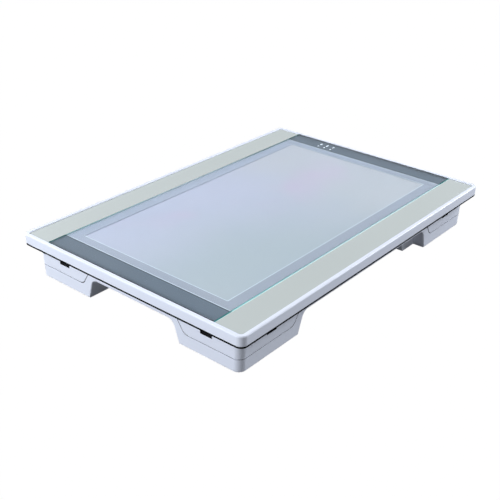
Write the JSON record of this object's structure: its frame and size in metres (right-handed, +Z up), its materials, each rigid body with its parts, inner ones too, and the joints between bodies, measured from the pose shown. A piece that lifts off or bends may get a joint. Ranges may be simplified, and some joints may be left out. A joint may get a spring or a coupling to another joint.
{
  "type": "light box",
  "caption": "Desktop light box for tracing: flat glass top over an edge-lit panel, white frame and base with moulded feet.",
  "frame": {"origin": "middle of the footprint, on the surface the box stands on", "axes": "+Z up; +Y along the long side towards the rear end with the touch keys and the inlet; +X to the right seen from the front end"},
  "size_m": [0.4, 0.582, 0.0675],
  "materials": {
    "white_plastic": "satin moulded ABS, white with a cool tint",
    "black_rubber": "matte black rubber",
    "black_plastic": "matte black moulding",
    "clear_glass": "float glass with polished edges, faintly green",
    "grey_panel": "satin light grey-green moulded panel",
    "band_ink": "slate blue print behind glass",
    "border_ink": "pale blue-grey print behind glass",
    "opal_sheet": "opal acrylic, unlit",
    "clear_acrylic": "clear acrylic with a fine dot print",
    "white_film": "matte white film",
    "aluminium": "mill-finish sheet",
    "circuit_board": "green solder mask",
    "white_board": "white solder mask with yellow lamp faces",
    "wire": "red insulation",
    "ribbon": "flat flexible cable",
    "steel": "zinc-plated steel"
  },
  "bodies": {
    "root": {"top_frame": "white_plastic", "base_cover": "white_plastic", "corner_cover_front_left": "white_plastic", "corner_cover_front_right": "white_plastic", "corner_cover_rear_left": "white_plastic", "corner_cover_rear_right": "white_plastic", "frame_gasket": "black_rubber", "foot_pad_front_left": "black_rubber", "foot_pad_front_right": "black_rubber", "foot_pad_rear_left": "black_rubber", "foot_pad_rear_right": "black_rubber", "dc_inlet": "black_plastic", "latch_catch_front_left_end": "black_plastic", "latch_catch_front_left_side": "black_plastic", "latch_catch_front_right_end": "black_plastic", "latch_catch_front_right_side": "black_plastic", "latch_catch_rear_left_end": "black_plastic", "latch_catch_rear_left_side": "black_plastic", "latch_catch_rear_right_end": "black_plastic", "latch_catch_rear_right_side": "black_plastic", "glass_plate": "clear_glass", "side_panel_left": "grey_panel", "side_panel_right": "grey_panel", "band_film_front": "band_ink", "band_film_rear": "band_ink", "border_film": "border_ink", "diffuser_sheet": "opal_sheet", "key_lens_1": "opal_sheet", "key_lens_2": "opal_sheet", "key_lens_3": "opal_sheet", "light_guide": "clear_acrylic", "reflector_sheet": "white_film", "back_plate": "aluminium", "led_rail_left": "aluminium", "led_rail_right": "aluminium", "control_board": "circuit_board", "touch_board": "circuit_board", "led_strip_left": "white_board", "led_strip_right": "white_board", "led_lead_left": "wire", "led_lead_right": "wire", "ribbon_cable": "ribbon", "case_screw_1": "steel", "case_screw_2": "steel", "case_screw_3": "steel", "case_screw_4": "steel", "case_screw_5": "steel", "case_screw_6": "steel", "case_screw_7": "steel", "case_screw_8": "steel", "plate_screw_1": "steel", "plate_screw_2": "steel", "plate_screw_3": "steel", "plate_screw_4": "steel", "board_screw_1": "steel", "board_screw_2": "steel", "board_screw_3": "steel", "board_screw_4": "steel"}
  },
  "joints": []
}
